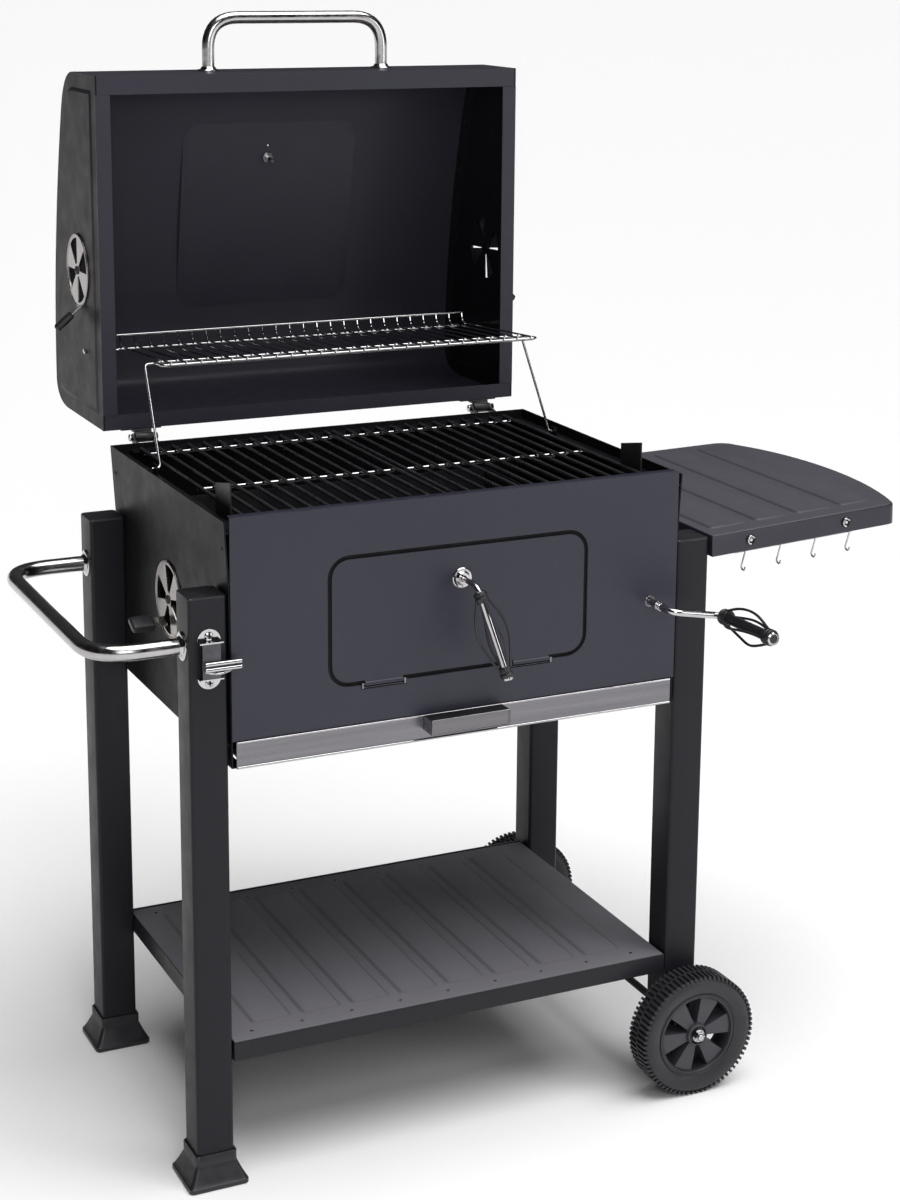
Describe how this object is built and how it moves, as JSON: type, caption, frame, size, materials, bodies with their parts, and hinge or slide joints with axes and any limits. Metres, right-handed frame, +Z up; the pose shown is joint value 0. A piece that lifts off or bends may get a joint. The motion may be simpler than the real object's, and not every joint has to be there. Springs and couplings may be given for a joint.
{
  "type": "charcoal grill cart",
  "caption": "Square charcoal grill on a wheeled cart with an open hinged lid, swinging warming rack, crank-lifted charcoal tray, ash drawer, side table, shelf and push handle.",
  "frame": {"origin": "middle of the whole object's box in plan, on the ground", "axes": "+X towards the wheels and side table, +Y towards the back, +Z up"},
  "size_m": [1.1542, 0.8802, 1.3961],
  "materials": {
    "anthracite": "satin powder coat",
    "dark_coat": "satin black coat",
    "chrome": "polished",
    "stainless": "fine brushed",
    "black_plastic": "fine grained",
    "enamel": "dark enamel"
  },
  "bodies": {
    "cart": {"firebox_left_wall": "anthracite", "firebox_right_wall": "anthracite", "firebox_rear_wall": "anthracite", "front_panel": "anthracite", "door_hinge_left": "dark_coat", "door_hinge_right": "dark_coat", "leg_front_left": "anthracite", "leg_front_right": "anthracite", "leg_rear_left": "anthracite", "leg_rear_right": "anthracite", "leg_cap_front_left": "black_plastic", "leg_cap_front_right": "black_plastic", "leg_cap_rear_left": "black_plastic", "leg_cap_rear_right": "black_plastic", "foot_front": "black_plastic", "foot_rear": "black_plastic", "bottom_shelf": "anthracite", "axle": "stainless", "axle_nut_front": "chrome", "axle_nut_rear": "chrome", "side_handle": "stainless", "side_handle_rosette_front": "chrome", "side_handle_rosette_rear": "chrome", "bottle_opener": "chrome", "side_table": "anthracite", "hook_rail": "chrome", "cooking_grate_left": "enamel", "cooking_grate_right": "enamel", "body_hinge_leaf_left": "dark_coat", "body_hinge_leaf_right": "dark_coat"},
    "lid": {"lid_wrapper": "anthracite", "lid_end_left": "anthracite", "lid_end_right": "anthracite", "lid_handle": "stainless", "thermometer": "chrome", "lid_hinge_leaf_left": "dark_coat", "lid_hinge_leaf_right": "dark_coat"},
    "warming_rack": {"warming_rack": "chrome"},
    "rack_strut_left": {"rack_strut_left": "chrome"},
    "rack_strut_right": {"rack_strut_right": "chrome"},
    "lid_vent_left": {"lid_vent_left": "chrome"},
    "lid_vent_right": {"lid_vent_right": "chrome"},
    "firebox_vent_left": {"firebox_vent_left": "chrome"},
    "firebox_vent_right": {"firebox_vent_right": "chrome"},
    "charcoal_door": {"charcoal_door": "anthracite", "door_rosette": "chrome"},
    "door_handle": {"door_handle": "chrome", "door_grip": "black_plastic"},
    "crank": {"crank_shaft": "chrome", "crank_grip": "black_plastic"},
    "lift_carriage": {"lift_carriage": "dark_coat"},
    "charcoal_tray": {"charcoal_tray": "dark_coat"},
    "ash_drawer": {"ash_drawer": "stainless", "ash_drawer_pull": "stainless"},
    "wheel_front": {"wheel_front": "black_plastic"},
    "wheel_rear": {"wheel_rear": "black_plastic"},
    "utensil_hook_1": {"utensil_hook_1": "chrome"},
    "utensil_hook_2": {"utensil_hook_2": "chrome"},
    "utensil_hook_3": {"utensil_hook_3": "chrome"},
    "utensil_hook_4": {"utensil_hook_4": "chrome"}
  },
  "joints": [
    {"name": "lid_hinge", "type": "hinge", "parent": "cart", "child": "lid", "pos_m": [-0.10964, 0.20711, 0.836], "axis": [1, 0, 0], "range_deg": [0, 90]},
    {"name": "rack_pivot", "type": "hinge", "parent": "lid", "child": "warming_rack", "pos_m": [-0.10964, 0.28412, 0.9445], "axis": [1, 0, 0], "range_deg": [-90, 0]},
    {"name": "left_strut_pivot", "type": "hinge", "parent": "cart", "child": "rack_strut_left", "pos_m": [-0.39164, 0.04711, 0.83], "axis": [1, 0, 0], "range_deg": [0, 90]},
    {"name": "right_strut_pivot", "type": "hinge", "parent": "cart", "child": "rack_strut_right", "pos_m": [0.17236, 0.04711, 0.83], "axis": [1, 0, 0], "range_deg": [0, 90]},
    {"name": "left_lid_vent_turn", "type": "hinge", "parent": "lid", "child": "lid_vent_left", "pos_m": [-0.41564, 0.30612, 1.052], "axis": [1, 0, 0], "range_deg": [-40, 0]},
    {"name": "right_lid_vent_turn", "type": "hinge", "parent": "lid", "child": "lid_vent_right", "pos_m": [0.19636, 0.30612, 1.052], "axis": [1, 0, 0], "range_deg": [-37, 5]},
    {"name": "left_firebox_vent_turn", "type": "hinge", "parent": "cart", "child": "firebox_vent_left", "pos_m": [-0.41164, -0.04589, 0.683], "axis": [1, 0, 0], "range_deg": [-40, 0]},
    {"name": "right_firebox_vent_turn", "type": "hinge", "parent": "cart", "child": "firebox_vent_right", "pos_m": [0.19236, -0.04589, 0.683], "axis": [1, 0, 0], "range_deg": [-40, 0]},
    {"name": "door_hinge", "type": "hinge", "parent": "cart", "child": "charcoal_door", "pos_m": [-0.11314, -0.26688, 0.617], "axis": [1, 0, 0], "range_deg": [0, 65]},
    {"name": "door_handle_turn", "type": "hinge", "parent": "charcoal_door", "child": "door_handle", "pos_m": [-0.11214, -0.28789, 0.735], "axis": [0, 1, 0], "range_deg": [0, 90]},
    {"name": "crank_turn", "type": "hinge", "parent": "cart", "child": "crank", "pos_m": [0.15236, -0.28789, 0.674], "axis": [0, 1, 0], "range_deg": [0, 1800]},
    {"name": "carriage_slide", "type": "slide", "parent": "cart", "child": "lift_carriage", "axis": [0, 1, 0], "range_m": [0, 0.1]},
    {"name": "tray_lift", "type": "slide", "parent": "cart", "child": "charcoal_tray", "axis": [0, 0, -1], "range_m": [0, 0.05]},
    {"name": "drawer_slide", "type": "slide", "parent": "cart", "child": "ash_drawer", "axis": [0, -1, 0], "range_m": [0, 0.38]},
    {"name": "front_wheel_spin", "type": "hinge", "parent": "cart", "child": "wheel_front", "pos_m": [0.21686, -0.29589, 0.0833], "axis": [0, 1, 0], "continuous": true},
    {"name": "rear_wheel_spin", "type": "hinge", "parent": "cart", "child": "wheel_rear", "pos_m": [0.21686, 0.21211, 0.0833], "axis": [0, 1, 0], "continuous": true},
    {"name": "hook_1_swing", "type": "hinge", "parent": "cart", "child": "utensil_hook_1", "pos_m": [0.29836, -0.25572, 0.72168], "axis": [0.9969, 0.0735, 0.0296], "range_deg": [-30, 30]},
    {"name": "hook_2_swing", "type": "hinge", "parent": "cart", "child": "utensil_hook_2", "pos_m": [0.35536, -0.25152, 0.72337], "axis": [0.9969, 0.0735, 0.0296], "range_deg": [-30, 30]},
    {"name": "hook_3_swing", "type": "hinge", "parent": "cart", "child": "utensil_hook_3", "pos_m": [0.41236, -0.24732, 0.72506], "axis": [0.9969, 0.0735, 0.0296], "range_deg": [-30, 30]},
    {"name": "hook_4_swing", "type": "hinge", "parent": "cart", "child": "utensil_hook_4", "pos_m": [0.46936, -0.24312, 0.72675], "axis": [0.9969, 0.0735, 0.0296], "range_deg": [-30, 30]}
  ],
  "couplings": [
    {"joint": "rack_pivot", "follows": "lid_hinge", "ratio": -1},
    {"joint": "left_strut_pivot", "follows": "lid_hinge", "ratio": 1},
    {"joint": "right_strut_pivot", "follows": "lid_hinge", "ratio": 1},
    {"joint": "carriage_slide", "follows": "crank_turn", "m_per_rad": 0.0031831},
    {"joint": "tray_lift", "follows": "crank_turn", "m_per_rad": 0.0015915}
  ]
}
